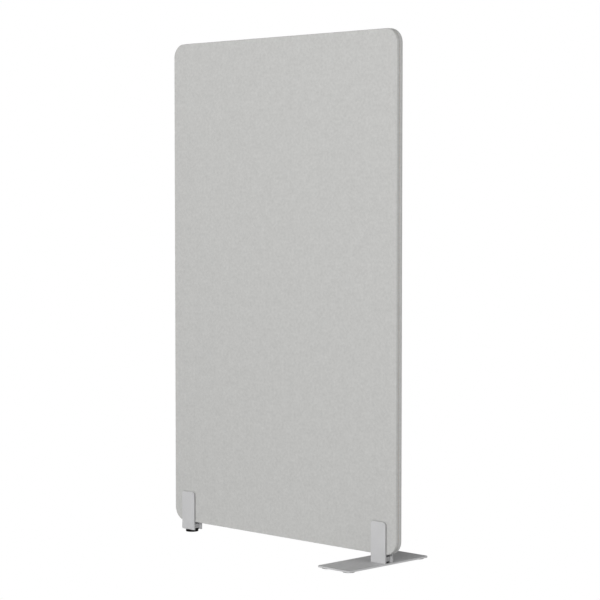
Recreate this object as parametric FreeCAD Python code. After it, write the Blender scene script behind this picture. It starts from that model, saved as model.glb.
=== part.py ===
"""Free-standing acoustic partition screen.

A fabric-covered, upright panel stands in two U-shaped metal brackets. The bracket at the -X end
stands on a height-adjustable glide, the one at the +X end on a steel base plate with four pads.

Millimetres. +X runs along the screen, -Y is its front, +Z is up. The origin is on the floor, under
the middle of the screen.
"""
import FreeCAD, Part
import math
import os
from FreeCAD import Vector

os.makedirs("parts", exist_ok=True)

# ---- driving dimensions -------------------------------------------------------------------------

# Panel
PANEL_WIDTH = 1000.0
PANEL_HEIGHT = 1590.0
PANEL_BOTTOM = 34.0            # height of its lower edge above the floor
CORNER_RADIUS = 45.0
ARRIS_RADIUS = 3.0             # rounding between a face and the edge band
COVER_THICKNESS = 1.0
WADDING_THICKNESS = 4.0
FRAME_THICKNESS = 16.0
SEAM_WIDTH = 1.6               # welt between the two covers, along the middle of the edge band

# Wooden frame inside the panel
RAIL_HEIGHT = 60.0
BOTTOM_RAIL_HEIGHT = 80.0
STILE_WIDTH = 60.0
MID_RAIL_HEIGHT = 60.0
DOWEL_RADIUS = 4.0
DOWEL_LENGTH = 40.0
DOWEL_OFFSET = 16.0            # of each dowel of a pair from the middle of its joint

# Brackets: two flat arms welded to a shorter block between their lower ends
BRACKET_X = 431.0              # distance of each bracket from the middle of the screen
BRACKET_WIDTH = 60.0
BAR_THICKNESS = 5.0            # of the arms
ARM_BOTTOM = 8.0
ARM_TOP = 134.5
ARM_CORNER_RADIUS = 11.0
BLOCK_LENGTH = 41.0            # along X, centred on the bracket
BLOCK_CORNER_RADIUS = 2.0      # of its upright edges
BLOCK_BOTTOM = 12.0
BLOCK_TOP = 26.0
BRACKET_EDGE_RADIUS = 0.4

# Fixings of the brackets to the bottom rail
BOLT_PITCH = 26.0              # along X, centred on the bracket
BOLT_RADIUS = 2.5              # M5
BOLT_HOLE_RADIUS = 2.75
BOLT_TIP = 53.0                # height of the bolts' upper ends
CAP_HEAD_RADIUS = 4.25
CAP_HEAD_HEIGHT = 5.0
CAP_BORE_RADIUS = 4.5          # counterbore for a cap head in the block
CAP_BORE_DEPTH = 6.0
COUNTERSUNK_HEAD_RADIUS = 4.7
COUNTERSUNK_HEAD_HEIGHT = 2.2
CAP_KEY = 4.0                  # across the flats of the key recess in a cap head
CAP_KEY_DEPTH = 2.5
COUNTERSUNK_KEY = 3.0
COUNTERSUNK_KEY_DEPTH = 1.5
INSERT_RADIUS = 4.5
INSERT_LENGTH = 18.0
INSERT_CLEARANCE = 0.05        # round each bolt

# Rubber cushion on each block, under the panel
CUSHION_STUD_HOLE_RADIUS = 6.0

# Black plastic insert in the pocket under each block
FOOT_INSERT_WIDTH = 25.4
FOOT_INSERT_CORNER_RADIUS = 2.0

# Height-adjustable glide under the -X bracket
GLIDE_RADIUS = 21.0
GLIDE_HEIGHT = 7.7
GLIDE_EDGE_RADIUS = 1.2
GLIDE_RECESS_DEPTH = 0.8       # hollow in the underside, so that the glide stands on its rim
GLIDE_RIM_WIDTH = 5.0
GLIDE_RELIEF = 0.3             # clearance between the glide's parts and the fixed parts
STUD_RADIUS = 5.0              # M10
STUD_BORE_RADIUS = 5.05
STUD_BOTTOM = 2.3
STUD_TOP = 32.0
STUD_POCKET_FLOOR = 2.0
COLLAR_ACROSS_FLATS = 13.0
COLLAR_HEIGHT = 3.6
COLLAR_HOLE_RADIUS = 7.9
BUSH_RADIUS = 7.0
BUSH_BOTTOM = 12.3

# Base plate under the +X bracket
PLATE_WIDTH = 134.0            # along X
PLATE_LENGTH = 358.0           # along Y
PLATE_THICKNESS = 5.0
PLATE_OUTER_X = 463.0          # X of its outer edge
PLATE_CORNER_RADIUS = 9.0
PLATE_EDGE_RADIUS = 0.5
PAD_RADIUS = 19.0
PAD_HEIGHT = 3.0
PAD_INSET = 24.0               # of each pad's centre from the plate's edges
PAD_EDGE_RADIUS = 0.6

# ---- derived dimensions -------------------------------------------------------------------------

PANEL_THICKNESS = FRAME_THICKNESS + 2 * (WADDING_THICKNESS + COVER_THICKNESS)
PANEL_TOP = PANEL_BOTTOM + PANEL_HEIGHT
HALF_WIDTH = PANEL_WIDTH / 2
HALF_THICKNESS = PANEL_THICKNESS / 2
HALF_FRAME = FRAME_THICKNESS / 2

FRAME_LEFT = -HALF_WIDTH + COVER_THICKNESS
FRAME_RIGHT = HALF_WIDTH - COVER_THICKNESS
FRAME_BOTTOM = PANEL_BOTTOM + COVER_THICKNESS
FRAME_TOP = PANEL_TOP - COVER_THICKNESS
STILE_BOTTOM = FRAME_BOTTOM + BOTTOM_RAIL_HEIGHT
STILE_TOP = FRAME_TOP - RAIL_HEIGHT
MID_RAIL_BOTTOM = (STILE_BOTTOM + STILE_TOP - MID_RAIL_HEIGHT) / 2
MID_RAIL_TOP = MID_RAIL_BOTTOM + MID_RAIL_HEIGHT

PLATE_BOTTOM = PAD_HEIGHT
PLATE_TOP = PLATE_BOTTOM + PLATE_THICKNESS
PLATE_INNER_X = PLATE_OUTER_X - PLATE_WIDTH

LEFT_BOLTS = [-BRACKET_X - BOLT_PITCH / 2, -BRACKET_X + BOLT_PITCH / 2]
RIGHT_BOLTS = [BRACKET_X - BOLT_PITCH / 2, BRACKET_X + BOLT_PITCH / 2]


# ---- helpers ------------------------------------------------------------------------------------

def save(node, *solids):
    """Write one node: a single solid, or a group of separate solids."""
    shape = solids[0] if len(solids) == 1 else Part.makeCompound(list(solids))
    shape.exportStep("parts/" + node + ".step")


def box(x0, x1, y0, y1, z0, z1):
    return Part.makeBox(x1 - x0, y1 - y0, z1 - z0, Vector(x0, y0, z0))


def rod(radius, x, y, z0, z1):
    """Upright cylinder between two heights."""
    return Part.makeCylinder(radius, z1 - z0, Vector(x, y, z0), Vector(0, 0, 1))


def lying_rod(radius, x0, x1, y, z):
    """Cylinder along X between two places."""
    return Part.makeCylinder(radius, x1 - x0, Vector(x0, y, z), Vector(1, 0, 0))


def hex_prism(across_flats, x, y, z0, z1):
    corner_radius = across_flats / math.sqrt(3)
    corners = []
    for side in range(7):
        angle = math.radians(60 * side)
        corners.append(Vector(x + corner_radius * math.cos(angle), y + corner_radius * math.sin(angle), z0))
    return Part.Face(Part.makePolygon(corners)).extrude(Vector(0, 0, z1 - z0))


def fillet_where(solid, radius, wanted):
    """Fillet the edges whose middle point passes the test."""
    edges = []
    for edge in solid.Edges:
        middle = edge.valueAt((edge.FirstParameter + edge.LastParameter) / 2)
        if wanted(middle, edge):
            edges.append(edge)
    return solid.makeFillet(radius, edges)


def is_along(edge, direction):
    if not isinstance(edge.Curve, Part.Line):
        return False
    return abs(abs(edge.tangentAt(edge.FirstParameter).dot(direction)) - 1) < 1e-6


def slab(inset, y0, y1):
    """The panel's outline, moved inwards by inset, from one Y to another."""
    block = box(-HALF_WIDTH + inset, HALF_WIDTH - inset, y0, y1, PANEL_BOTTOM + inset, PANEL_TOP - inset)
    return fillet_where(block, CORNER_RADIUS - inset, lambda middle, edge: is_along(edge, Vector(0, 1, 0)))


def soft_slab(inset, half_thickness):
    """The outline as a slab that is rounded where its faces meet the edge band."""
    block = slab(inset, -half_thickness, half_thickness)
    radius = ARRIS_RADIUS - inset
    return fillet_where(block, radius, lambda middle, edge: abs(abs(middle.y) - half_thickness) < 1e-6)


def cut_all(solid, tools):
    for tool in tools:
        solid = solid.cut(tool)
    return solid


# ---- panel: covers, wadding, welt ----------------------------------------------------------------

def bolt_holes(radius, z0, z1):
    return [rod(radius, x, 0, z0, z1) for x in LEFT_BOLTS + RIGHT_BOLTS]


def make_covers():
    """Two fabric shells that meet the welt in the middle of the edge band."""
    outer = soft_slab(0, HALF_THICKNESS)
    inner = soft_slab(COVER_THICKNESS, HALF_THICKNESS - COVER_THICKNESS)
    shell = outer.cut(inner)
    half_seam = SEAM_WIDTH / 2
    room = PANEL_WIDTH
    holes = bolt_holes(BOLT_HOLE_RADIUS, PANEL_BOTTOM - 1, FRAME_BOTTOM + 1)
    for node, y0, y1 in (("front_cover", -room, -half_seam), ("back_cover", half_seam, room)):
        side = box(-room, room, y0, y1, 0, PANEL_TOP + room)
        save(node, cut_all(shell.common(side), holes))
    welt = slab(0, -half_seam, half_seam).cut(slab(COVER_THICKNESS, -half_seam, half_seam))
    save("edge_welt", cut_all(welt, holes))
    return inner


def make_waddings(inner):
    room = PANEL_WIDTH
    for node, y0, y1 in (("front_wadding", -room, -HALF_FRAME), ("back_wadding", HALF_FRAME, room)):
        save(node, inner.common(box(-room, room, y0, y1, 0, PANEL_TOP + room)))


# ---- panel: frame and core -----------------------------------------------------------------------

def joint_heights(middle):
    return (middle - DOWEL_OFFSET, middle + DOWEL_OFFSET)


def make_dowels():
    """Upright dowels between rails and stiles, and lying ones at the ends of the middle rail."""
    dowels = []
    for side in (-1, 1):
        stile_middle = side * (HALF_WIDTH - COVER_THICKNESS - STILE_WIDTH / 2)
        for joint_z in (STILE_BOTTOM, STILE_TOP):
            for x in (stile_middle - DOWEL_OFFSET, stile_middle + DOWEL_OFFSET):
                dowels.append(rod(DOWEL_RADIUS, x, 0, joint_z - DOWEL_LENGTH / 2, joint_z + DOWEL_LENGTH / 2))
        joint_x = side * (HALF_WIDTH - COVER_THICKNESS - STILE_WIDTH)
        for z in joint_heights((MID_RAIL_BOTTOM + MID_RAIL_TOP) / 2):
            dowels.append(lying_rod(DOWEL_RADIUS, joint_x - DOWEL_LENGTH / 2, joint_x + DOWEL_LENGTH / 2, 0, z))
    return dowels


def make_frame():
    outline = slab(COVER_THICKNESS, -HALF_FRAME, HALF_FRAME)
    dowels = make_dowels()
    inner_left = FRAME_LEFT + STILE_WIDTH
    inner_right = FRAME_RIGHT - STILE_WIDTH

    members = {
        "frame_bottom_rail": (FRAME_LEFT, FRAME_RIGHT, FRAME_BOTTOM, STILE_BOTTOM),
        "frame_top_rail": (FRAME_LEFT, FRAME_RIGHT, STILE_TOP, FRAME_TOP),
        "frame_left_stile": (FRAME_LEFT, inner_left, STILE_BOTTOM, STILE_TOP),
        "frame_right_stile": (inner_right, FRAME_RIGHT, STILE_BOTTOM, STILE_TOP),
        "frame_middle_rail": (inner_left, inner_right, MID_RAIL_BOTTOM, MID_RAIL_TOP),
    }
    insert_holes = bolt_holes(INSERT_RADIUS, FRAME_BOTTOM, FRAME_BOTTOM + INSERT_LENGTH)
    tip_holes = bolt_holes(BOLT_HOLE_RADIUS, FRAME_BOTTOM, BOLT_TIP + 2)
    for node, (x0, x1, z0, z1) in members.items():
        member = box(x0, x1, -HALF_FRAME, HALF_FRAME, z0, z1).common(outline)
        member = cut_all(member, dowels)
        if node == "frame_bottom_rail":
            member = cut_all(member, insert_holes + tip_holes)
        save(node, member)
    save("frame_dowels", *dowels)

    for node, z0, z1 in (("lower_core", STILE_BOTTOM, MID_RAIL_BOTTOM), ("upper_core", MID_RAIL_TOP, STILE_TOP)):
        save(node, box(inner_left, inner_right, -HALF_FRAME, HALF_FRAME, z0, z1))


def make_threaded_inserts():
    inserts = []
    for x in LEFT_BOLTS + RIGHT_BOLTS:
        insert = rod(INSERT_RADIUS, x, 0, FRAME_BOTTOM, FRAME_BOTTOM + INSERT_LENGTH)
        bore = rod(BOLT_RADIUS + INSERT_CLEARANCE, x, 0, FRAME_BOTTOM, FRAME_BOTTOM + INSERT_LENGTH)
        inserts.append(insert.cut(bore))
    save("threaded_inserts", *inserts)


# ---- brackets and what is in them ------------------------------------------------------------------

def make_bracket(node, centre_x, bolts, with_stud):
    x0 = centre_x - BRACKET_WIDTH / 2
    x1 = centre_x + BRACKET_WIDTH / 2
    outer = HALF_THICKNESS + BAR_THICKNESS
    bracket = box(x0, x1, -outer, outer, ARM_BOTTOM, ARM_TOP)
    between = box(x0 - 1, x1 + 1, -HALF_THICKNESS, HALF_THICKNESS, ARM_BOTTOM - 1, ARM_TOP + 1)
    bracket = bracket.cut(between.cut(block_between(centre_x, BLOCK_BOTTOM, BLOCK_TOP)))
    bracket = fillet_where(
        bracket, ARM_CORNER_RADIUS, lambda middle, edge: is_along(edge, Vector(0, 1, 0)) and middle.z > ARM_TOP - 1)
    bracket = fillet_where(
        bracket, BRACKET_EDGE_RADIUS, lambda middle, edge: abs(abs(middle.y) - outer) < 1e-6)
    bracket = cut_all(bracket, [rod(BOLT_HOLE_RADIUS, x, 0, BLOCK_BOTTOM - 1, BLOCK_TOP + 1) for x in bolts])
    if with_stud:
        bracket = bracket.cut(rod(BUSH_RADIUS, centre_x, 0, BLOCK_BOTTOM - 1, BLOCK_TOP + 1))
        bores = [rod(CAP_BORE_RADIUS, x, 0, BLOCK_BOTTOM - 1, BLOCK_BOTTOM + CAP_BORE_DEPTH) for x in bolts]
        bracket = cut_all(bracket, bores)
    save(node, bracket)


def block_between(centre_x, z0, z1):
    """What fills the space between the arms over the block's length."""
    half = BLOCK_LENGTH / 2
    block = box(centre_x - half, centre_x + half, -HALF_THICKNESS, HALF_THICKNESS, z0, z1)
    return fillet_where(block, BLOCK_CORNER_RADIUS, lambda middle, edge: is_along(edge, Vector(0, 0, 1)))


def make_cushion(node, centre_x, bolts, with_stud):
    """Rubber cushion that the panel stands on, clear of the block."""
    cushion = block_between(centre_x, BLOCK_TOP, PANEL_BOTTOM)
    cushion = cut_all(cushion, [rod(BOLT_HOLE_RADIUS, x, 0, BLOCK_TOP, PANEL_BOTTOM) for x in bolts])
    if with_stud:
        cushion = cushion.cut(rod(CUSHION_STUD_HOLE_RADIUS, centre_x, 0, BLOCK_TOP, PANEL_BOTTOM))
    save(node, cushion)


def make_foot_insert(node, centre_x, bolts, with_stud):
    """Plastic insert in the pocket under the block: round the stud's collar, or round the bolts."""
    half_length = BLOCK_LENGTH / 2
    half_width = FOOT_INSERT_WIDTH / 2
    insert = box(centre_x - half_length, centre_x + half_length, -half_width, half_width, ARM_BOTTOM, BLOCK_BOTTOM)
    insert = fillet_where(
        insert, FOOT_INSERT_CORNER_RADIUS, lambda middle, edge: is_along(edge, Vector(0, 0, 1)))
    if with_stud:
        insert = insert.cut(rod(COLLAR_HOLE_RADIUS, centre_x, 0, ARM_BOTTOM, BLOCK_BOTTOM))
    else:
        insert = cut_all(insert, [rod(BOLT_HOLE_RADIUS, x, 0, ARM_BOTTOM, BLOCK_BOTTOM) for x in bolts])
    save(node, insert)


def make_cap_bolts(node, bolts):
    """Socket-cap bolts up through the block, with their heads sunk in it."""
    shapes = []
    head_top = BLOCK_BOTTOM + CAP_BORE_DEPTH
    head_bottom = head_top - CAP_HEAD_HEIGHT
    for x in bolts:
        head = rod(CAP_HEAD_RADIUS, x, 0, head_bottom, head_top)
        head = fillet_where(head, 0.4, lambda middle, edge: abs(middle.z - head_bottom) < 1e-6)
        bolt = head.fuse(rod(BOLT_RADIUS, x, 0, head_top, BOLT_TIP))
        shapes.append(bolt.cut(hex_prism(CAP_KEY, x, 0, head_bottom, head_bottom + CAP_KEY_DEPTH)))
    save(node, *shapes)


def countersunk_head(x, clearance):
    return Part.makeCone(COUNTERSUNK_HEAD_RADIUS + clearance, BOLT_RADIUS + clearance, COUNTERSUNK_HEAD_HEIGHT,
                         Vector(x, 0, PLATE_BOTTOM), Vector(0, 0, 1))


def make_countersunk_bolts(node, bolts):
    """Countersunk bolts up through the base plate and the block."""
    shapes = []
    for x in bolts:
        shank = rod(BOLT_RADIUS, x, 0, PLATE_BOTTOM + COUNTERSUNK_HEAD_HEIGHT, BOLT_TIP)
        bolt = countersunk_head(x, 0).fuse(shank)
        key = hex_prism(COUNTERSUNK_KEY, x, 0, PLATE_BOTTOM, PLATE_BOTTOM + COUNTERSUNK_KEY_DEPTH)
        shapes.append(bolt.cut(key))
    save(node, *shapes)


# ---- glide under the -X bracket ---------------------------------------------------------------------

def make_glide():
    x = -BRACKET_X
    bush = rod(BUSH_RADIUS, x, 0, BUSH_BOTTOM, BLOCK_TOP)
    save("thread_bush", bush.cut(rod(STUD_BORE_RADIUS, x, 0, BUSH_BOTTOM, BLOCK_TOP)))

    collar_bottom = GLIDE_HEIGHT + GLIDE_RELIEF
    stud = rod(STUD_RADIUS, x, 0, STUD_BOTTOM, STUD_TOP)
    stud = fillet_where(stud, 1.0, lambda middle, edge: abs(middle.z - STUD_TOP) < 1e-6)
    collar = hex_prism(COLLAR_ACROSS_FLATS, x, 0, collar_bottom, collar_bottom + COLLAR_HEIGHT)
    save("glide_stud", stud.fuse(collar))

    pad = rod(GLIDE_RADIUS, x, 0, 0, GLIDE_HEIGHT)
    pad = fillet_where(pad, GLIDE_EDGE_RADIUS, lambda middle, edge: isinstance(edge.Curve, Part.Circle))
    pad = pad.cut(rod(GLIDE_RADIUS - GLIDE_RIM_WIDTH, x, 0, -1, GLIDE_RECESS_DEPTH))
    save("glide_pad", pad.cut(rod(STUD_BORE_RADIUS, x, 0, STUD_POCKET_FLOOR, GLIDE_HEIGHT + 1)))


# ---- base plate under the +X bracket ------------------------------------------------------------------

def make_base():
    half_length = PLATE_LENGTH / 2
    plate = box(PLATE_INNER_X, PLATE_OUTER_X, -half_length, half_length, PLATE_BOTTOM, PLATE_TOP)
    plate = fillet_where(plate, PLATE_CORNER_RADIUS, lambda middle, edge: is_along(edge, Vector(0, 0, 1)))
    plate = fillet_where(plate, PLATE_EDGE_RADIUS, lambda middle, edge: abs(middle.z - PLATE_TOP) < 1e-6)
    for x in RIGHT_BOLTS:
        plate = plate.cut(rod(BOLT_HOLE_RADIUS, x, 0, PLATE_BOTTOM, PLATE_TOP))
        plate = plate.cut(countersunk_head(x, 0.1))
    save("base_plate", plate)

    pads = []
    for x in (PLATE_INNER_X + PAD_INSET, PLATE_OUTER_X - PAD_INSET):
        for y in (-half_length + PAD_INSET, half_length - PAD_INSET):
            pad = rod(PAD_RADIUS, x, y, 0, PAD_HEIGHT)
            pads.append(fillet_where(pad, PAD_EDGE_RADIUS, lambda middle, edge: abs(middle.z) < 1e-6))
    save("base_pads", *pads)


make_waddings(make_covers())
make_frame()
make_threaded_inserts()
make_bracket("left_bracket", -BRACKET_X, LEFT_BOLTS, True)
make_bracket("right_bracket", BRACKET_X, RIGHT_BOLTS, False)
make_cushion("left_cushion", -BRACKET_X, LEFT_BOLTS, True)
make_cushion("right_cushion", BRACKET_X, RIGHT_BOLTS, False)
make_foot_insert("left_foot_insert", -BRACKET_X, LEFT_BOLTS, True)
make_foot_insert("right_foot_insert", BRACKET_X, RIGHT_BOLTS, False)
make_cap_bolts("left_bracket_bolts", LEFT_BOLTS)
make_countersunk_bolts("base_plate_bolts", RIGHT_BOLTS)
make_glide()
make_base()
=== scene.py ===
"""Looks of the partition wall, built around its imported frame. Metres, in the row frame."""
import math

import bpy
import numpy as np
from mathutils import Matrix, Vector, noise


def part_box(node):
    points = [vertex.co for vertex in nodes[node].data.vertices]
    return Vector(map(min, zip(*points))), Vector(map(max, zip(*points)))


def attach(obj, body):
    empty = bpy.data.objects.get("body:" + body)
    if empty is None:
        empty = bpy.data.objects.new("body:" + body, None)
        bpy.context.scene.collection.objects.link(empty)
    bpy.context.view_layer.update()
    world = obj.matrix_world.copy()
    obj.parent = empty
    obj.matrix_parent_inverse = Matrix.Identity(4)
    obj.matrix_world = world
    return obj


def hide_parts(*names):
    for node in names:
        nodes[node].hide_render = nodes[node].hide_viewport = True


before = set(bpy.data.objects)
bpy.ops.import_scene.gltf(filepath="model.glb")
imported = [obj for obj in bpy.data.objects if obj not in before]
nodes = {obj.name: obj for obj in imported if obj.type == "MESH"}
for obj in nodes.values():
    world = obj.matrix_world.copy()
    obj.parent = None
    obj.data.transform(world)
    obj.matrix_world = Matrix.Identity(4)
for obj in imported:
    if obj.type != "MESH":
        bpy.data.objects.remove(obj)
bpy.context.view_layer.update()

# ---- sizes ---------------------------------------------------------------------------------------

MM = 0.001

# the panel's outline and its edge, from a face round to the seam
CORNER_RADIUS = 45 * MM
ARRIS_RADIUS = 3 * MM          # rounding from a face to the edge band
ARRIS_START = 0.8 * MM         # from the end of the face to the curve of the fabric
ARRIS_CURVE = 1.4 * MM         # radius of that curve, which is tight
ARRIS_DEGREES = (0, 17, 34, 51, 68)
SHOULDER = 10.6 * MM           # from the seam to where the edge band starts
SHOULDER_DROP = 0.65 * MM      # of the shoulder below the crest
CREST = 5.0 * MM               # from the seam to the crest of the padding beside it
CREST_RISE = 0.3 * MM          # of the crest above the panel's edge
SEAM_DEPTH = 1.42 * MM         # from the crest down to the seam
SEAM_CURVE = 1.25              # how steeply the padding dives into the seam
TURN_IN = 0.45 * MM            # from the seam to where the fabric goes in
STITCH = 8 * MM                # from one stitch of the seam to the next
PUCKER = 0.28 * MM             # depth of the dimple at each stitch
WANDER = 0.12 * MM             # how far the seam strays from its line
WELT_RADIUS = 0.65 * MM
WELT_SIDES = 8
WELT_SQUEEZE = 0.14            # share of its radius that the cord loses at a stitch
WELT_DEEPEST = 0.98 * MM       # how far in the cord may reach, so that it stays clear of the frame

# the fabric on a face
SLACK = 0.22 * MM              # height of the slow waves in the stretched fabric
SLACK_FADE = 40 * MM           # distance from the edge in which those waves reach their height
PUFF = 0.7 * MM                # how far the padding swells beside a bracket arm
PUFF_RISE = 4 * MM             # distance from the arm in which the swelling comes up
PUFF_FALL = 22 * MM            # and in which it dies away again
PUFF_FADE = 12 * MM            # distance from the panel's edge in which it reaches its height
SINK = 0.98 * MM               # how far the fabric is drawn in at an arm's edge
SINK_REACH = 1.3 * MM          # distance from the arm in which it comes out again
SINK_ZONE = 3 * MM             # how far under an arm the fabric stays drawn in
UNDER_ARM = 0.04 * MM          # how far it is pressed in under the rest of the arm
ARM_EDGE = 0.05 * MM           # nearer to an arm than this, a point counts as under it
THREAD_STEP = 1.6 * MM         # from one thread of the weave to the next

# the grids of the meshes
SEAM_STEP = 2 * MM             # longest step along the panel's outline
FACE_CELL = 12 * MM            # cell on a flat stretch of a cover
ARM_CELL = 2.2 * MM            # cell in a cover's corners and beside a bracket arm
ARM_MARGIN = 12 * MM           # how far from an arm's edge the small cells go
WELT_CORNER_CELL = 3.5 * MM
BATTING_CELLS = (16 * MM, 8 * MM)      # on the flat, and in the corners
CORE_CELLS = (14 * MM, 1.5 * MM)
PAD_RIM = 0.7                  # thickness of a pad at its rim, as a share

# the glide's stud
STUD_RADIUS = 5 * MM
STUD_CHAMFER = 0.6 * MM
THREAD_PITCH = 1.5 * MM
THREAD_DEPTH = 0.8 * MM
THREAD_FADE = 1.2 * MM         # length in which the thread runs out at each end
THREAD_FLANK = 3.2             # how steep its flanks are
THREAD_CREST = 0.3             # by how much they start late, which leaves a flat crest
THREAD_SIDES = 36
THREAD_RINGS = 8               # in one turn of the thread
COLLAR_FLATS = 13 * MM
COLLAR_HEIGHT = 3.6 * MM
COLLAR_GAP = 0.3 * MM          # between the glide and the collar
COLLAR_SIDES = 72
COLLAR_END = 1.06              # radius of its chamfer at the end, as a share of half the flats
COLLAR_SLOPE = 1.2             # by which the chamfer widens for each unit of height

# the studio
CAMERA_PLACE = (4.4744, -4.4190, 1.1266)
CAMERA_DOWN = 3.0487           # degrees below level
CAMERA_TURN = 44.8473          # degrees about Z from looking along +Y
LENS = 118.83                  # mm
SENSOR = 36                    # mm
FLOOR_Z = -11 * MM             # just under the glide when it is screwed right out
FLOOR_HALF = 12.0
FLOOR_GREY = 0.85
AMBIENT = 0.2                  # strength of the light from all round
LIGHT_AIM = (0, 0, 0.8)
LIGHTS = (                     # name, azimuth in degrees, distance, height, size, watts
    ("front_left_light", -35, 8.0, 3.0, (4.0, 2.2), 133),
    ("front_right_light", 29, 11.0, 3.8, (5.5, 3.0), 818),
    ("back_right_light", 125, 5.5, 1.1, (3.6, 2.4), 50),
    ("back_light", -176, 6.0, 1.5, (4.0, 2.4), 88),
    ("top_light", 0, 1.0, 4.6, (3.0, 3.0), 4),
)

# ---- places from the frame -----------------------------------------------------------------------

front_low, front_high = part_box("front_cover")
LEFT, RIGHT = front_low.x, front_high.x
BOTTOM, TOP = front_low.z, front_high.z
FACE_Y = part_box("back_cover")[1].y
ARMS = [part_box("left_bracket"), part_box("right_bracket")]


# ---- camera, floor and light ----------------------------------------------------------------------

def add_camera():
    """Eye level, in front of the screen's +X corner, through a long lens."""
    data = bpy.data.cameras.new("camera")
    data.lens = LENS
    data.sensor_width = SENSOR
    data.clip_end = 200
    camera = bpy.data.objects.new("camera", data)
    bpy.context.scene.collection.objects.link(camera)
    camera.location = CAMERA_PLACE
    camera.rotation_euler = (math.radians(90 - CAMERA_DOWN), 0, math.radians(CAMERA_TURN))
    bpy.context.scene.camera = camera


def add_softbox(name, azimuth, distance, height, size, power):
    """A soft rectangular light that faces the screen from that azimuth (0 is the front)."""
    data = bpy.data.lights.new(name, "AREA")
    data.shape = "RECTANGLE"
    data.size, data.size_y = size
    data.energy = power
    light = bpy.data.objects.new(name, data)
    bpy.context.scene.collection.objects.link(light)
    turn = math.radians(azimuth)
    light.location = (distance * math.sin(turn), -distance * math.cos(turn), height)
    towards = Vector(LIGHT_AIM) - light.location
    light.rotation_euler = towards.to_track_quat("-Z", "Y").to_euler()


def camera_switch(tree, unseen, seen, output):
    """Light the scene with one shader, and show the camera the other."""
    path = tree.nodes.new("ShaderNodeLightPath")
    mix = tree.nodes.new("ShaderNodeMixShader")
    tree.links.new(path.outputs["Is Camera Ray"], mix.inputs["Fac"])
    tree.links.new(unseen.outputs[0], mix.inputs[1])
    tree.links.new(seen.outputs[0], mix.inputs[2])
    tree.links.new(mix.outputs[0], output.inputs["Surface"])


def add_world():
    """Dim light from all round, and a white backdrop."""
    world = bpy.data.worlds.new("studio")
    bpy.context.scene.world = world
    world.use_nodes = True
    tree = world.node_tree
    ambient = tree.nodes["Background"]
    ambient.inputs["Color"].default_value = (1, 1, 1, 1)
    ambient.inputs["Strength"].default_value = AMBIENT
    backdrop = tree.nodes.new("ShaderNodeBackground")
    backdrop.inputs["Color"].default_value = (1, 1, 1, 1)
    camera_switch(tree, ambient, backdrop, tree.nodes["World Output"])


def add_floor():
    """A wide pale floor that meets the white backdrop without a line."""
    mesh = bpy.data.meshes.new("floor")
    signs = ((-1, -1), (1, -1), (1, 1), (-1, 1))
    corners = [(x * FLOOR_HALF, y * FLOOR_HALF, FLOOR_Z) for x, y in signs]
    mesh.from_pydata(corners, [], [(0, 1, 2, 3)])
    floor = bpy.data.objects.new("floor", mesh)
    bpy.context.scene.collection.objects.link(floor)

    material = bpy.data.materials.new("floor")
    material.use_nodes = True
    tree = material.node_tree
    tree.nodes.clear()
    bounce = tree.nodes.new("ShaderNodeBsdfDiffuse")
    bounce.inputs["Color"].default_value = (FLOOR_GREY, FLOOR_GREY, FLOOR_GREY, 1)
    seen = tree.nodes.new("ShaderNodeEmission")
    camera_switch(tree, bounce, seen, tree.nodes.new("ShaderNodeOutputMaterial"))
    mesh.materials.append(material)


def add_stage():
    bpy.context.scene.view_settings.view_transform = "Standard"
    add_camera()
    add_floor()
    add_world()
    for light in LIGHTS:
        add_softbox(*light)


# ---- materials --------------------------------------------------------------------------------------

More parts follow.
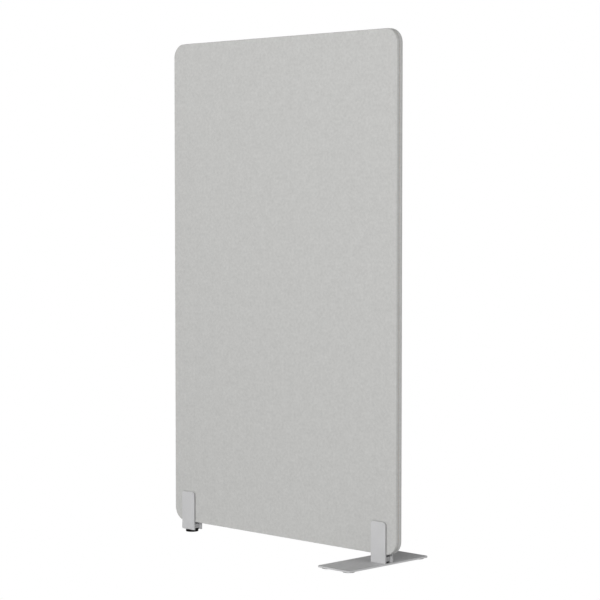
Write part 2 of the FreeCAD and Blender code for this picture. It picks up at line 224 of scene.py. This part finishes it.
class Net:
    """The nodes of one material, linked as they are made."""

    def __init__(self, name):
        self.material = bpy.data.materials.new(name)
        self.material.use_nodes = True
        self.tree = self.material.node_tree
        self.bsdf = self.tree.nodes["Principled BSDF"]
        self.coordinates = self.tree.nodes.new("ShaderNodeTexCoord")
        self.place = self.coordinates.outputs["Object"]

    def feed(self, socket, value):
        """Link a socket of another node, or set a plain value."""
        if isinstance(value, bpy.types.NodeSocket):
            self.tree.links.new(value, socket)
        else:
            socket.default_value = value

    def math(self, operation, *values):
        made = self.tree.nodes.new("ShaderNodeMath")
        made.operation = operation
        for socket, value in zip(made.inputs, values):
            self.feed(socket, value)
        return made.outputs[0]

    def noise(self, scale, detail=2.0, roughness=0.5, place=None):
        made = self.tree.nodes.new("ShaderNodeTexNoise")
        made.inputs["Scale"].default_value = scale
        made.inputs["Detail"].default_value = detail
        made.inputs["Roughness"].default_value = roughness
        self.tree.links.new(self.place if place is None else place, made.inputs["Vector"])
        return made.outputs["Fac"]

    def cells(self, scale):
        """A random number in each small cell."""
        made = self.tree.nodes.new("ShaderNodeTexVoronoi")
        made.inputs["Scale"].default_value = scale
        self.tree.links.new(self.place, made.inputs["Vector"])
        apart = self.tree.nodes.new("ShaderNodeSeparateColor")
        self.tree.links.new(made.outputs["Color"], apart.inputs[0])
        return apart.outputs[0]

    def stretch(self, scales, place=None):
        """The place scaled by a factor along each axis."""
        made = self.tree.nodes.new("ShaderNodeVectorMath")
        made.operation = "MULTIPLY"
        self.tree.links.new(self.place if place is None else place, made.inputs[0])
        made.inputs[1].default_value = scales
        return made.outputs[0]

    def facing(self, axis):
        """1 on a face that looks along the axis, and 0 on one at right angles to it."""
        apart = self.tree.nodes.new("ShaderNodeSeparateXYZ")
        self.tree.links.new(self.coordinates.outputs["Normal"], apart.inputs[0])
        return self.math("ABSOLUTE", apart.outputs[axis])

    def spread(self, value, low, high, from_low=0.0, from_high=1.0):
        """The value, with from_low to from_high turned into low to high."""
        made = self.tree.nodes.new("ShaderNodeMapRange")
        self.feed(made.inputs["Value"], value)
        ends = {"From Min": from_low, "From Max": from_high, "To Min": low, "To Max": high}
        for name, number in ends.items():
            made.inputs[name].default_value = number
        return made.outputs["Result"]

    def choose(self, factor, value_a, value_b):
        """The first number where the factor is 0, and the second where it is 1."""
        made = self.tree.nodes.new("ShaderNodeMix")
        self.feed(made.inputs[0], factor)
        self.feed(made.inputs[2], value_a)
        self.feed(made.inputs[3], value_b)
        return made.outputs[0]

    def tint(self, factor, colour_a, colour_b):
        """The first colour where the factor is 0, and the second where it is 1."""
        made = self.tree.nodes.new("ShaderNodeMix")
        made.data_type = "RGBA"
        self.feed(made.inputs[0], factor)
        self.feed(made.inputs[6], colour_a)
        self.feed(made.inputs[7], colour_b)
        return made.outputs[2]

    def shade(self, colour, factor):
        """The colour times a number."""
        made = self.tree.nodes.new("ShaderNodeVectorMath")
        made.operation = "SCALE"
        self.feed(made.inputs[0], colour)
        self.feed(made.inputs["Scale"], factor)
        return made.outputs[0]

    def bump(self, height, depth, normal=None):
        """A normal from a height of 0 to 1 that stands for depth metres."""
        made = self.tree.nodes.new("ShaderNodeBump")
        made.inputs["Distance"].default_value = depth
        self.feed(made.inputs["Height"], height)
        if normal is not None:
            self.feed(made.inputs["Normal"], normal)
        return made.outputs["Normal"]

    def finish(self, **sockets):
        """Set the shader's sockets, and return the material."""
        names = {"colour": "Base Color", "specular": "Specular IOR Level", "sheen": "Sheen Weight",
                 "sheen_roughness": "Sheen Roughness"}
        for key, value in sockets.items():
            self.feed(self.bsdf.inputs[names.get(key, key.capitalize())], value)
        return self.material


def plain_weave(net, flat):
    """(height of the threads from 0 to 1, 1 where a warp thread is on top and 0 where a weft one is)"""
    apart = net.tree.nodes.new("ShaderNodeSeparateXYZ")
    net.tree.links.new(flat, apart.inputs[0])
    angles = [net.math("MULTIPLY", apart.outputs[axis], math.pi / THREAD_STEP) for axis in (0, 1)]
    waves = [net.math("SINE", angle) for angle in angles]
    rises = [net.math("ABSOLUTE", wave) for wave in waves]
    on_top = net.math("GREATER_THAN", net.math("MULTIPLY", waves[0], waves[1]), 0.0)
    flattening = 0.4
    warp = net.math("MULTIPLY", rises[0], net.math("POWER", rises[1], flattening))
    weft = net.math("MULTIPLY", rises[1], net.math("POWER", rises[0], flattening))
    return net.choose(on_top, weft, warp), on_top


def woven_fabric(name, level, warmth):
    """Plain-woven melange wool, with light and dark fibres along its threads.

    Its grey has less blue than red by warmth.
    """
    net = Net(name)
    weave = net.tree.nodes.new("ShaderNodeUVMap")
    weave.uv_map = "Weave"
    flat = weave.outputs["UV"]
    crowns, on_top = plain_weave(net, flat)

    along_warp = net.noise(1.0, 3, 0.6, net.stretch((900, 130, 1), flat))
    along_weft = net.noise(1.0, 3, 0.6, net.stretch((130, 900, 1), flat))
    fibres = net.choose(on_top, along_weft, along_warp)
    flecks = net.noise(110, 2, 0.5, flat)
    clouds = net.noise(30, 3, 0.5, flat)
    tone = net.spread(fibres, 0.92, 1.08, 0.25, 0.75)
    tone = net.math("MULTIPLY", tone, net.spread(flecks, 0.93, 1.07, 0.25, 0.75))
    tone = net.math("MULTIPLY", tone, net.spread(clouds, 0.975, 1.025, 0.3, 0.7))
    # painted shade: where the weave's threads dip, between the crowns, the colour is darker
    tone = net.math("MULTIPLY", tone, net.spread(crowns, 0.84, 1.04))

    fuzz = net.noise(4200, 2, 0.7, flat)
    height = net.math("ADD", crowns, net.math("MULTIPLY", fuzz, 0.35))
    return net.finish(
        colour=net.shade((level, level, level - warmth), tone),
        roughness=net.spread(fibres, 0.82, 0.98),
        specular=0.15,
        sheen=0.12,
        sheen_roughness=0.5,
        normal=net.bump(height, 0.25 * MM),
    )


def lacquered_metal(name, level, metallic, roughness, axis, painted_shading_beside, painted_shading_along):
    """Silver lacquer: a fine flake, a slight orange peel and a few faint rubbed patches.

    Faces that look along the axis and faces beside it get painted shading: their colour is scaled to stand
    for the light they catch or miss.
    """
    net = Net(name)
    flake = net.cells(2600)
    grain = net.noise(900, 3, 0.6)
    peel = net.noise(420, 2, 0.5)
    rubbed = net.noise(14, 4, 0.6)
    tone = net.math("MULTIPLY", net.spread(flake, 0.93, 1.07), net.spread(grain, 0.95, 1.05, 0.3, 0.7))
    tone = net.math("MULTIPLY", tone, net.spread(rubbed, 0.98, 1.02, 0.3, 0.7))
    # painted shading: faces along the axis are made darker or lighter than the rest, for how the light
    # falls on them
    tone = net.math("MULTIPLY", tone, net.spread(net.facing(axis), painted_shading_beside, painted_shading_along))
    rough = net.math("ADD", net.spread(rubbed, roughness - 0.05, roughness + 0.05, 0.3, 0.7),
                     net.spread(flake, -0.04, 0.04))
    return net.finish(
        colour=net.shade((level, level, level * 1.01), tone),
        metallic=metallic,
        roughness=rough,
        specular=0.4,
        normal=net.bump(peel, 0.03 * MM, net.bump(grain, 0.01 * MM)),
    )


def bare_metal(name, level, roughness):
    """Zinc-plated steel with a spangle and fine turning marks."""
    net = Net(name)
    spangle = net.cells(700)
    marks = net.noise(1.0, 2, 0.5, net.stretch((300, 300, 9000)))
    tone = net.spread(spangle, 0.92, 1.08)
    rough = net.math("ADD", net.spread(spangle, roughness - 0.05, roughness + 0.05),
                     net.spread(marks, -0.05, 0.05))
    return net.finish(
        colour=net.shade((level, level, level * 0.985), tone),
        metallic=1.0,
        roughness=rough,
        normal=net.bump(marks, 0.02 * MM),
    )


def moulded_plastic(name, level, roughness, grain_depth):
    """Moulded nylon or rubber with a spark-eroded grain and rubbed high spots."""
    net = Net(name)
    grain = net.noise(1500, 3, 0.6)
    rubbed = net.noise(60, 3, 0.6)
    return net.finish(
        colour=net.shade((level, level, level * 1.03), net.spread(rubbed, 0.8, 1.25, 0.3, 0.7)),
        roughness=net.math("ADD", net.spread(rubbed, roughness - 0.08, roughness + 0.08, 0.3, 0.7),
                           net.spread(grain, -0.05, 0.05)),
        specular=0.12,
        normal=net.bump(grain, grain_depth),
    )


def wood(name, light, dark, scales):
    """Sawn wood with its grain along one axis: scales are low along the grain."""
    net = Net(name)
    bent = net.noise(1.0, 2, 0.5, net.stretch([0.4 * scale for scale in scales]))
    rings = net.noise(1.0, 2, 0.55, net.stretch(scales))
    wavy = net.math("ADD", rings, net.math("MULTIPLY", bent, 0.6))
    bands = net.math("FRACT", net.math("MULTIPLY", wavy, 9.0))
    pores = net.noise(1.0, 3, 0.7, net.stretch([12 * scale for scale in scales]))
    factor = net.math("MULTIPLY", net.spread(bands, 0.1, 0.75), net.spread(pores, 0.6, 1.2))
    return net.finish(
        colour=net.tint(factor, light, dark),
        roughness=net.spread(pores, 0.6, 0.85),
        normal=net.bump(pores, 0.15 * MM),
    )


def felt(name, level, fleck):
    """Needled fibres that lie every way."""
    net = Net(name)
    fibres = net.noise(1.0, 5, 0.75, net.stretch((500, 500, 140)))
    crossing = net.noise(1.0, 5, 0.75, net.stretch((140, 500, 500)))
    mixed = net.math("MULTIPLY", net.math("ADD", fibres, crossing), 0.5)
    return net.finish(
        colour=net.shade((level, level, level * 0.985),
                         net.spread(mixed, 1 - fleck, 1 + fleck, 0.35, 0.65)),
        roughness=net.spread(mixed, 0.85, 1.0),
        specular=0.1,
        sheen=0.2,
        normal=net.bump(mixed, 0.6 * MM),
    )


# ---- panel ------------------------------------------------------------------------------------------

def add_piece(name, points, faces, material, body, weave=None):
    """A smooth mesh that rides on a body. weave gives each point's place on the flat cloth."""
    mesh = bpy.data.meshes.new(name)
    mesh.from_pydata(points, [], faces)
    if weave is not None:
        corners = np.zeros(len(mesh.loops), np.int32)
        mesh.loops.foreach_get("vertex_index", corners)
        layer = mesh.uv_layers.new(name="Weave")
        layer.data.foreach_set("uv", np.asarray(weave, float)[corners].ravel())
    mesh.polygons.foreach_set("use_smooth", [True] * len(mesh.polygons))
    mesh.materials.append(material)
    mesh.validate()
    piece = bpy.data.objects.new(name, mesh)
    bpy.context.scene.collection.objects.link(piece)
    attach(piece, body)
    return piece


def grid_lines(low, high, corner, fine_zones, coarse, fine):
    """Grid positions from low to high: fine in the corners and the fine zones, and coarse elsewhere."""
    cuts = {low, low + corner, high - corner, high}
    for zone in fine_zones:
        cuts.update(min(max(end, low), high) for end in zone)
    cuts = sorted(cuts)
    lines = [low]
    for start, end in zip(cuts, cuts[1:]):
        if end - start < 1e-6:
            continue
        middle = (start + end) / 2
        in_corner = middle < low + corner or middle > high - corner
        is_fine = in_corner or any(zone[0] < middle < zone[1] for zone in fine_zones)
        steps = max(1, round((end - start) / (fine if is_fine else coarse)))
        lines += [start + (end - start) * step / steps for step in range(1, steps + 1)]
    return lines


class Outline:
    """A rectangle in X and Z with rounded corners, filled by a grid whose edge follows the corners."""

    def __init__(self, left, right, bottom, top, corner, xs, zs):
        self.box = (left, right, bottom, top)
        self.corner = corner
        self.xs, self.zs = xs, zs

    def place(self, x, z):
        """(the grid point moved to fit the rounded corner, the outward direction at the edge)."""
        left, right, bottom, top = self.box
        centre_x = min(max(x, left + self.corner), right - self.corner)
        centre_z = min(max(z, bottom + self.corner), top - self.corner)
        out_x, out_z = x - centre_x, z - centre_z
        length = math.hypot(out_x, out_z)
        if length < 1e-9:
            side = Vector(((x >= right) - (x <= left), (z >= top) - (z <= bottom)))
            return x, z, side
        reach = max(abs(out_x), abs(out_z)) / length
        return centre_x + out_x * reach, centre_z + out_z * reach, Vector((out_x, out_z)) / length

    def edge_cells(self):
        """The grid's edge points in order round it, as (column, row)."""
        last_column, last_row = len(self.xs) - 1, len(self.zs) - 1
        ring = [(column, 0) for column in range(last_column)]
        ring += [(last_column, row) for row in range(last_row)]
        ring += [(column, last_row) for column in range(last_column, 0, -1)]
        ring += [(0, row) for row in range(last_row, 0, -1)]
        return ring

    def on_one_side(self, here, after):
        """True if both grid points lie on the same side of the grid's edge."""
        same_column = here[0] == after[0] and here[0] in (0, len(self.xs) - 1)
        same_row = here[1] == after[1] and here[1] in (0, len(self.zs) - 1)
        return same_column or same_row

    def edge(self, step):
        """Closely spaced points round the edge: (x, z, outward direction, grid point or None)."""
        ring = self.edge_cells()
        points = []
        for here, after in zip(ring, ring[1:] + ring[:1]):
            x0, z0, x1, z1 = self.xs[here[0]], self.zs[here[1]], self.xs[after[0]], self.zs[after[1]]
            parts = max(1, math.ceil(math.hypot(x1 - x0, z1 - z0) / step))
            for part in range(parts):
                share = part / parts
                x, z, side = self.place(x0 + (x1 - x0) * share, z0 + (z1 - z0) * share)
                points.append((x, z, side, here if part == 0 else None))
        return points


def arm_distance(x, z):
    """Distance in X and Z from the nearest bracket arm, or below 0 under one."""
    distances = []
    for low, high in ARMS:
        beyond_x = max(low.x - x, x - high.x)
        beyond_z = z - high.z
        if beyond_x <= 0 or beyond_z <= 0:
            distances.append(max(beyond_x, beyond_z))
        else:
            distances.append(math.hypot(beyond_x, beyond_z))
    return min(distances)


def fabric_relief(x, z, seed):
    """How far the stretched fabric stands out of its flat plane."""
    distance = arm_distance(x, z)
    if distance < ARM_EDGE:
        return -SINK if distance > -SINK_ZONE else -UNDER_ARM
    edge = min(x - LEFT, RIGHT - x, z - BOTTOM, TOP - z)
    inside = min(1.0, max(0.0, (edge - ARRIS_RADIUS) / SLACK_FADE))
    slow = noise.noise(Vector((x * 4.5 + seed, z * 3.2, seed)))
    waves = slow + 0.5 * noise.noise(Vector((x * 11, z * 9, seed)))
    swell = (1 - math.exp(-distance / PUFF_RISE)) * math.exp(-distance / PUFF_FALL)
    drawn_in = SINK * math.exp(-((distance / SINK_REACH) ** 2))
    return inside * SLACK * waves + PUFF * swell * min(1.0, edge / PUFF_FADE) - drawn_in


def cover_profile():
    """The cover's section from the face's edge to the seam: (outward, distance in from the face)."""
    section = []
    for degrees in ARRIS_DEGREES:
        turn = math.radians(degrees)
        section.append((ARRIS_START + ARRIS_CURVE * math.sin(turn), ARRIS_CURVE * (1 - math.cos(turn))))
    stations = list(np.linspace(SHOULDER, CREST, 5)) + list(np.linspace(CREST, TURN_IN, 9)[1:])
    for from_seam in stations:
        section.append((ARRIS_RADIUS + bulge(from_seam), FACE_Y - from_seam))
    return section


def bulge(from_seam):
    """How far the edge band stands out: a soft lobe of padding on each side of the seam."""
    if from_seam < CREST:
        return CREST_RISE - SEAM_DEPTH * (1 - from_seam / CREST) ** SEAM_CURVE
    return CREST_RISE - SHOULDER_DROP * ((from_seam - CREST) / (SHOULDER - CREST)) ** 2


def panel_outline(inset, coarse, fine, fine_zones_x=(), fine_zones_z=()):
    """The panel's outline drawn in by an inset, with its grid."""
    left, right, bottom, top = LEFT + inset, RIGHT - inset, BOTTOM + inset, TOP - inset
    corner = CORNER_RADIUS - inset
    xs = grid_lines(left, right, corner, fine_zones_x, coarse, fine)
    zs = grid_lines(bottom, top, corner, fine_zones_z, coarse, fine)
    return Outline(left, right, bottom, top, corner, xs, zs)


def arm_zones():
    """The stretches of a face beside the edges of the arms, along X and along Z."""
    zones_x = []
    for low, high in ARMS:
        for side in (low.x, high.x):
            zones_x += [(side - ARM_MARGIN, side), (side, side + ARM_MARGIN)]
    arm_top = ARMS[0][1].z
    return zones_x, [(arm_top - ARM_MARGIN, arm_top), (arm_top, arm_top + ARM_MARGIN)]


class CoverMesh:
    """The mesh of one cover as it grows: its face, then rings round the arris to the seam."""

    def __init__(self, facing, seed):
        self.facing, self.seed = facing, seed
        self.outline = panel_outline(ARRIS_RADIUS, FACE_CELL, ARM_CELL, *arm_zones())
        self.edge = self.outline.edge(SEAM_STEP)
        self.points, self.weave, self.faces = [], [], []
        self.add_grid_points()
        self.ring = self.add_edge_points()
        self.add_face()
        self.wrapped = self.add_band()
        if facing > 0:
            self.faces = [list(reversed(loop)) for loop in self.faces]

    def add_point(self, x, z, depth, flat):
        """A point at a depth behind the face's plane. flat is its place on the flat cloth."""
        self.points.append((x, self.facing * (FACE_Y - depth), z))
        self.weave.append(flat)
        return len(self.points) - 1

    def grid_point(self, cell):
        return cell[1] * len(self.outline.xs) + cell[0]

    def add_grid_points(self):
        for z in self.outline.zs:
            for x in self.outline.xs:
                px, pz, _ = self.outline.place(x, z)
                self.add_point(px, pz, -fabric_relief(px, pz, self.seed), (px, pz))

    def add_edge_points(self):
        """The points round the face's edge: the grid's own, and more between them."""
        ring = []
        for x, z, _, cell in self.edge:
            if cell is not None:
                ring.append(self.grid_point(cell))
            else:
                ring.append(self.add_point(x, z, -fabric_relief(x, z, self.seed), (x, z)))
        return ring

    def add_face(self):
        """The grid's cells. A cell at the edge also goes through the points added there."""
        at = {}
        for index, (_, _, _, cell) in enumerate(self.edge):
            if cell is not None:
                at[cell] = index
        count = len(self.edge)
        for row in range(len(self.outline.zs) - 1):
            for column in range(len(self.outline.xs) - 1):
                cell = [(column, row), (column + 1, row), (column + 1, row + 1), (column, row + 1)]
                loop = []
                for here, after in zip(cell, cell[1:] + cell[:1]):
                    loop.append(self.grid_point(here))
                    if here not in at or after not in at or not self.outline.on_one_side(here, after):
                        continue
                    forward = (at[after] - at[here]) % count
                    backward = (at[here] - at[after]) % count
                    if forward < backward:
                        loop += [self.ring[(at[here] + step) % count] for step in range(1, forward)]
                self.faces.append(loop)

    def add_band(self):
        """The arris, half of the edge band and the turn into the seam. Returns the cloth's width there."""
        section = cover_profile()
        widths = [0.0]
        for (out0, in0), (out1, in1) in zip([(0.0, 0.0)] + section, section):
            widths.append(widths[-1] + math.hypot(out1 - out0, in1 - in0))
        steps = [math.dist(a[:2], b[:2]) for a, b in zip(self.edge, self.edge[1:] + self.edge[:1])]
        walks = np.concatenate([[0.0], np.cumsum(steps)[:-1]])
        ring = self.ring
        for level, (outward, inward) in enumerate(section):
            share = level / (len(section) - 1)
            width = widths[level + 1]
            new_ring = []
            for (x, z, side, _), walked in zip(self.edge, walks):
                dimple = PUCKER * share ** 3 * (0.5 + 0.5 * math.cos(2 * math.pi * walked / STITCH))
                stray = WANDER * share * noise.noise(Vector((x * 40, z * 40, self.seed)))
                reach = outward - dimple + stray
                flat = (x + side.x * width, z + side.y * width)
                place = (x + side.x * reach, z + side.y * reach)
                new_ring.append(self.add_point(*place, inward - 0.5 * dimple, flat))
            for index in range(len(ring)):
                after = (index + 1) % len(ring)
                self.faces.append([ring[after], ring[index], new_ring[index], new_ring[after]])
            ring = new_ring
        return widths[-1]


def make_cover(name, facing, seed, material):
    """One fabric cover, stretched over its wadding."""
    made = CoverMesh(facing, seed)
    cover = add_piece(name + "_fabric", made.points, made.faces, material, "screen", made.weave)
    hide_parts(name)


def make_welt(material):
    """The cord sewn in between the covers, round the middle of the edge band."""
    edge = panel_outline(0, FACE_CELL, WELT_CORNER_CELL).edge(SEAM_STEP)
    points, faces, weave = [], [], []
    walked = 0.0
    for index, (x, z, side, _) in enumerate(edge):
        radius = WELT_RADIUS * (1 - WELT_SQUEEZE * (0.5 + 0.5 * math.cos(2 * math.pi * walked / STITCH)))
        for corner in range(WELT_SIDES):
            turn = 2 * math.pi * corner / WELT_SIDES
            outward = max(-WELT_DEEPEST, radius * math.cos(turn) - WELT_RADIUS)
            points.append((x + side.x * outward, radius * math.sin(turn), z + side.y * outward))
            weave.append((walked, WELT_RADIUS * turn))
        after = edge[(index + 1) % len(edge)]
        walked += math.dist((x, z), after[:2])
    for index in range(len(edge)):
        here = index * WELT_SIDES
        after = (index + 1) % len(edge) * WELT_SIDES
        for corner in range(WELT_SIDES):
            beside = (corner + 1) % WELT_SIDES
            faces.append([here + corner, after + corner, after + beside, here + beside])
    welt = add_piece("seam_welt", points, faces, material, "screen", weave)
    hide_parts("edge_welt")


def make_pad(name, node, outline, relief, seed, material):
    """A slab of batting or felt: two faces with an uneven surface, and rounded edges between them."""
    low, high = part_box(node)
    columns, rows = len(outline.xs), len(outline.zs)
    half = (high.y - low.y) / 2
    middle = (high.y + low.y) / 2
    points, faces = [], []
    for facing in (-1, 1):
        for row, z in enumerate(outline.zs):
            for column, x in enumerate(outline.xs):
                px, pz, _ = outline.place(x, z)
                on_edge = column in (0, columns - 1) or row in (0, rows - 1)
                broad = noise.noise(Vector((px * 38, pz * 38, seed + facing)))
                small = noise.noise(Vector((px * 120, pz * 120, seed)))
                hollow = relief * (0.5 + 0.5 * broad)
                hollow += relief * 0.5 * (0.5 + 0.5 * small)
                thickness = half * (PAD_RIM if on_edge else 1.0) - hollow
                points.append((px, middle + facing * thickness, pz))
    layer = columns * rows
    for row in range(rows - 1):
        for column in range(columns - 1):
            a = row * columns + column
            quad = [a, a + 1, a + 1 + columns, a + columns]
            faces.append(quad)
            faces.append([layer + corner for corner in reversed(quad)])
    ring = [row * columns + column for column, row in outline.edge_cells()]
    for here, after in zip(ring, ring[1:] + ring[:1]):
        faces.append([after, here, layer + here, layer + after])
    pad = add_piece(name, points, faces, material, "screen")
    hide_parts(node)


def make_wadding():
    batting = felt("polyester_wadding", 0.82, 0.10)
    inset, relief, fill = 1.0 * MM, 0.5 * MM, 0.4
    for seed, node in ((1.0, "front_wadding"), (2.0, "back_wadding")):
        outline = panel_outline(inset, *BATTING_CELLS)
        make_pad(node.replace("wadding", "batting"), node, outline, relief, seed, batting)


def make_cores():
    core = felt("pressed_felt", 0.33, 0.30)
    gap, corner, relief, fill = 0.5 * MM, 3 * MM, 0.4 * MM, 0.9
    for seed, node in ((3.0, "lower_core"), (4.0, "upper_core")):
        low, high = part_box(node)
        left, right, bottom, top = low.x + gap, high.x - gap, low.z + gap, high.z - gap
        xs = grid_lines(left, right, corner, (), *CORE_CELLS)
        zs = grid_lines(bottom, top, corner, (), *CORE_CELLS)
        outline = Outline(left, right, bottom, top, corner, xs, zs)
        make_pad(node.replace("core", "felt_core"), node, outline, relief, seed, core)


def make_soft_pieces():
    fabric = woven_fabric("screen_fabric", 0.562, 0.012)
    make_cover("front_cover", -1, 3.1, fabric)
    make_cover("back_cover", 1, 8.7, fabric)
    # the cord is the covers' fabric painted lighter, a painted highlight along the middle of the edge band,
    # and a touch bluer, painted against the warm light bounced between the covers
    make_welt(woven_fabric("welt_cord", 0.60, -0.01))
    make_wadding()
    make_cores()


# ---- levelling stud ----------------------------------------------------------------------------------

def add_turned_shell(points, faces, centre, sides, rings):
    """A closed shell round an upright axis. Each ring is (height, radius at a turn)."""
    first = len(points)
    for height, radius_at in rings:
        for side in range(sides):
            turn = 2 * math.pi * side / sides
            radius = radius_at(turn)
            points.append((centre.x + radius * math.cos(turn), centre.y + radius * math.sin(turn), height))
    for ring in range(len(rings) - 1):
        for side in range(sides):
            here = first + ring * sides + side
            beside = first + ring * sides + (side + 1) % sides
            faces.append([here, beside, beside + sides, here + sides])
    faces.append([first + side for side in reversed(range(sides))])
    top = first + (len(rings) - 1) * sides
    faces.append([top + side for side in range(sides)])


def thread_radius(height, fade):
    """The radius of the thread round the stud at a height. fade is 1 where the thread is whole."""
    def radius_at(turn):
        phase = (height / THREAD_PITCH - turn / (2 * math.pi)) % 1.0
        flank = min(1.0, max(0.0, abs(phase - 0.5) * THREAD_FLANK - THREAD_CREST))
        crest = STUD_RADIUS - THREAD_DEPTH * (1 - max(0.0, fade))
        return max(STUD_RADIUS - THREAD_DEPTH, crest - THREAD_DEPTH * flank)
    return radius_at


def collar_radius(from_end):
    """The radius of the hexagon collar at a distance from its nearer end, where it is chamfered."""
    half = COLLAR_FLATS / 2
    chamfer = half * COLLAR_END + from_end * COLLAR_SLOPE

    def radius_at(turn):
        off_flat = (turn - math.pi / 6) % (math.pi / 3) - math.pi / 6
        return min(half / math.cos(off_flat), chamfer)
    return radius_at


def make_stud(material):
    """The glide's threaded stud, with a rolled thread and a chamfered hexagon collar."""
    low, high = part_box("glide_stud")
    centre = (low + high) / 2
    collar_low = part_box("glide_pad")[1].z + COLLAR_GAP
    collar_high = collar_low + COLLAR_HEIGHT
    points, faces = [], []

    rings = [(low.z, lambda turn: STUD_RADIUS - STUD_CHAMFER)]
    rings.append((low.z + STUD_CHAMFER, lambda turn: STUD_RADIUS))
    rings.append((collar_high - 0.2 * MM, lambda turn: STUD_RADIUS - THREAD_DEPTH))
    steps = round((high.z - collar_high) / (THREAD_PITCH / THREAD_RINGS))
    for step in range(steps + 1):
        height = collar_high + (high.z - collar_high) * step / steps
        from_top = (high.z - height) / THREAD_FADE
        from_collar = (height - collar_high + THREAD_FADE / 2) / THREAD_FADE
        rings.append((height, thread_radius(height, min(1.0, from_top, from_collar))))
    add_turned_shell(points, faces, centre, THREAD_SIDES, rings)

    near_end = [up * MM for up in (0, 0.25, 0.5, 0.8)]
    ups = near_end + [COLLAR_HEIGHT / 2] + [COLLAR_HEIGHT - up for up in reversed(near_end)]
    rings = [(collar_low + up, collar_radius(min(up, COLLAR_HEIGHT - up))) for up in ups]
    add_turned_shell(points, faces, centre, COLLAR_SIDES, rings)
    stud = add_piece("levelling_stud_threaded", points, faces, material, "levelling_stud")
    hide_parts("glide_stud")


# ---- CAD nodes that keep their own shape ---------------------------------------------------------------

def paint(material, *names):
    """Give CAD nodes a material."""
    for name in names:
        mesh = nodes[name].data
        mesh.materials.clear()
        mesh.materials.append(material)


def paint_hard_parts():
    # painted shade: the brackets' faces that look along X, such as the narrow sides of the arms, are
    # painted darker than their fronts
    bracket = lacquered_metal("silver_bracket", 0.605, 0.25, 0.5, axis=0, painted_shading_beside=1.0, painted_shading_along=0.72)
    # the base plate is the brackets' silver lacquer painted darker, a painted shade for its top face, and
    # its side faces are painted lighter than its top, a painted highlight
    plate = lacquered_metal("silver_base_plate", 0.52, 0.15, 0.5, axis=2, painted_shading_beside=1.12, painted_shading_along=1.0)
    black = moulded_plastic("black_nylon", 0.006, 0.40, 0.03 * MM)
    # the grey is the base pads' own rubber; on the cushions under the panel it is also a painted shade for
    # the dark gap there
    rubber = moulded_plastic("grey_rubber_and_painted_shade", 0.12, 0.75, 0.05 * MM)
    zinc = bare_metal("zinc_steel", 0.62, 0.35)
    pine_light, pine_dark = (0.74, 0.56, 0.33, 1), (0.52, 0.34, 0.16, 1)
    beech_light, beech_dark = (0.62, 0.42, 0.25, 1), (0.46, 0.28, 0.15, 1)
    paint(bracket, "left_bracket", "right_bracket")
    paint(plate, "base_plate")
    paint(black, "left_foot_insert", "right_foot_insert", "glide_pad")
    # the cushions' dark grey is painted shade for the gap under the panel
    paint(rubber, "base_pads", "left_cushion", "right_cushion")
    paint(zinc, "threaded_inserts", "left_bracket_bolts", "base_plate_bolts", "thread_bush")
    paint(wood("pine_rail", pine_light, pine_dark, (1.2, 60, 60)), "frame_top_rail", "frame_bottom_rail",
          "frame_middle_rail")
    paint(wood("pine_stile", pine_light, pine_dark, (60, 60, 1.2)), "frame_left_stile", "frame_right_stile")
    paint(wood("beech_dowel", beech_light, beech_dark, (90, 90, 6)), "frame_dowels")
    make_stud(zinc)


add_stage()
make_soft_pieces()
paint_hard_parts()
